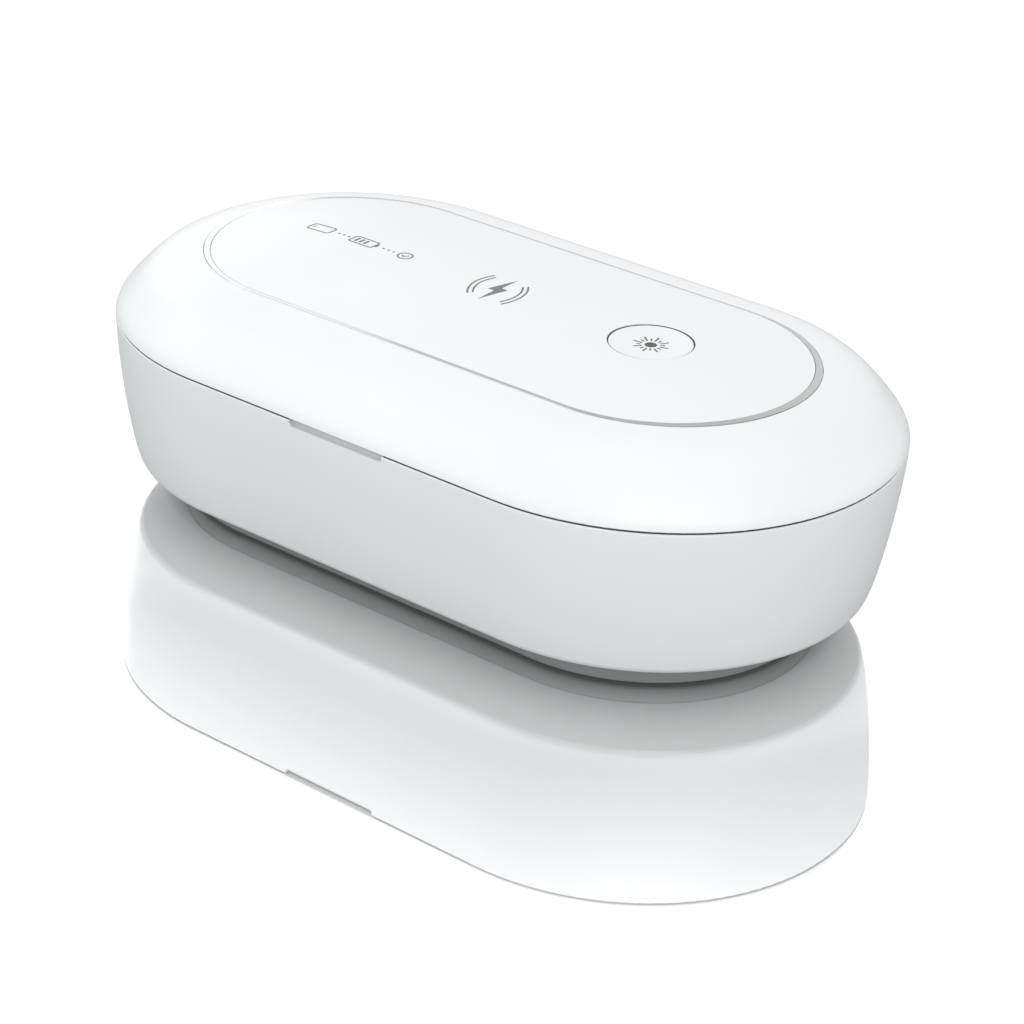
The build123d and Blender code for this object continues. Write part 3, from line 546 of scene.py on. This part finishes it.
def studio_world():
    """White room for the camera and for the mirror image in the floor; for the box a soft dome with a bright card at the back left."""
    world = bpy.data.worlds.new("studio")
    world.use_nodes = True
    nt = world.node_tree
    nt.nodes.clear()
    out = nt.nodes.new("ShaderNodeOutputWorld")
    coord = nt.nodes.new("ShaderNodeTexCoord")
    sep = nt.nodes.new("ShaderNodeSeparateXYZ")
    nt.links.new(coord.outputs["Generated"], sep.inputs["Vector"])

    def math_node(op, x, y):
        n = nt.nodes.new("ShaderNodeMath")
        n.operation = op
        for i, v in enumerate((x, y)):
            if isinstance(v, (int, float)):
                n.inputs[i].default_value = v
            else:
                nt.links.new(v, n.inputs[i])
        return n.outputs[0]

    def edge(value, low, high, rising=True):
        n = nt.nodes.new("ShaderNodeMapRange")
        n.interpolation_type = "SMOOTHSTEP"
        n.inputs["From Min"].default_value = low
        n.inputs["From Max"].default_value = high
        n.inputs["To Min"].default_value = 0.0 if rising else 1.0
        n.inputs["To Max"].default_value = 1.0 if rising else 0.0
        nt.links.new(value, n.inputs["Value"])
        return n.outputs["Result"]

    # brightness of the dome by height, horizon to zenith
    ramp = nt.nodes.new("ShaderNodeValToRGB")
    el = ramp.color_ramp.elements
    while len(el) < len(DOME):
        el.new(0.5)
    for e, (z, v) in zip(el, DOME):
        e.position = z
        e.color = (v * 0.5, v * 0.5, v * 0.5, 1)
    nt.links.new(sep.outputs["Z"], ramp.inputs["Fac"])
    # card between two azimuths
    turn = math_node("ARCTAN2", sep.outputs["Y"], sep.outputs["X"])
    side = math_node("MULTIPLY", edge(turn, math.radians(CARD[0] - 0.8), math.radians(CARD[0] + 0.8)), edge(turn, math.radians(CARD[1] - 4), math.radians(CARD[1] + 4), False))
    tall = math_node("MULTIPLY", edge(sep.outputs["Z"], 0.08, 0.18), edge(sep.outputs["Z"], 0.50, 0.62, False))
    card = math_node("MULTIPLY", math_node("MULTIPLY", side, tall), CARD[2])
    bw = nt.nodes.new("ShaderNodeRGBToBW")
    nt.links.new(ramp.outputs["Color"], bw.inputs["Color"])
    strength = math_node("ADD", math_node("MULTIPLY", bw.outputs["Val"], 2.0), card)
    dome = nt.nodes.new("ShaderNodeBackground")
    dome.inputs["Color"].default_value = (0.985, 0.997, 1.0, 1)
    nt.links.new(strength, dome.inputs["Strength"])
    white = nt.nodes.new("ShaderNodeBackground")
    white.inputs["Color"].default_value = (1, 1, 1, 1)
    white.inputs["Strength"].default_value = 1.08
    path = nt.nodes.new("ShaderNodeLightPath")
    mirrored = math_node("MULTIPLY", path.outputs["Is Singular Ray"], math_node("LESS_THAN", path.outputs["Diffuse Depth"], 0.5))
    seen = math_node("MAXIMUM", path.outputs["Is Camera Ray"], mirrored)
    mix = nt.nodes.new("ShaderNodeMixShader")
    nt.links.new(seen, mix.inputs["Fac"])
    nt.links.new(dome.outputs[0], mix.inputs[1])
    nt.links.new(white.outputs[0], mix.inputs[2])
    nt.links.new(mix.outputs[0], out.inputs["Surface"])
    scene.world = world


# (sine of elevation, brightness)
DOME = [(0.0, 1.26), (0.2, 0.95), (0.42, 1.0), (0.68, 0.58), (1.0, 0.88)]
# from azimuth, to azimuth, added brightness
CARD = (132.3, 165.0, 0.68)
studio_world()


def softbox(name, place, aim, size, power, colour=(1, 1, 1)):
    data = bpy.data.lights.new(name, "AREA")
    data.shape = "RECTANGLE"
    data.size, data.size_y = size
    data.energy = power
    data.color = colour
    ob = bpy.data.objects.new(name, data)
    ob.location = place
    ob.rotation_mode = "QUATERNION"
    ob.rotation_quaternion = (Vector(place) - Vector(aim)).to_track_quat("Z", "Y")
    ob.visible_camera = False
    scene.collection.objects.link(ob)
    return ob




def lamp(name, azimuth, elevation, distance, size, power):
    """Softbox in a direction from the box, facing it."""
    a, e = math.radians(azimuth), math.radians(elevation)
    place = Vector((math.cos(e) * math.cos(a), math.cos(e) * math.sin(a), math.sin(e))) * distance + Vector((0, 0, 0.05))
    return softbox(name, tuple(place), (0, 0, 0.05), size, power)


lamp("softbox_front_left", -140, 35, 1.1, (0.9, 0.7), 1.62)
lamp("softbox_front_right", -40, 35, 1.1, (0.9, 0.7), 3.63)
lamp("softbox_left", 180, 30, 1.1, (0.9, 0.5), 0.65)

# ---------------------------------------------------------------------------
# scene update
# ---------------------------------------------------------------------------
bpy.context.view_layer.update()
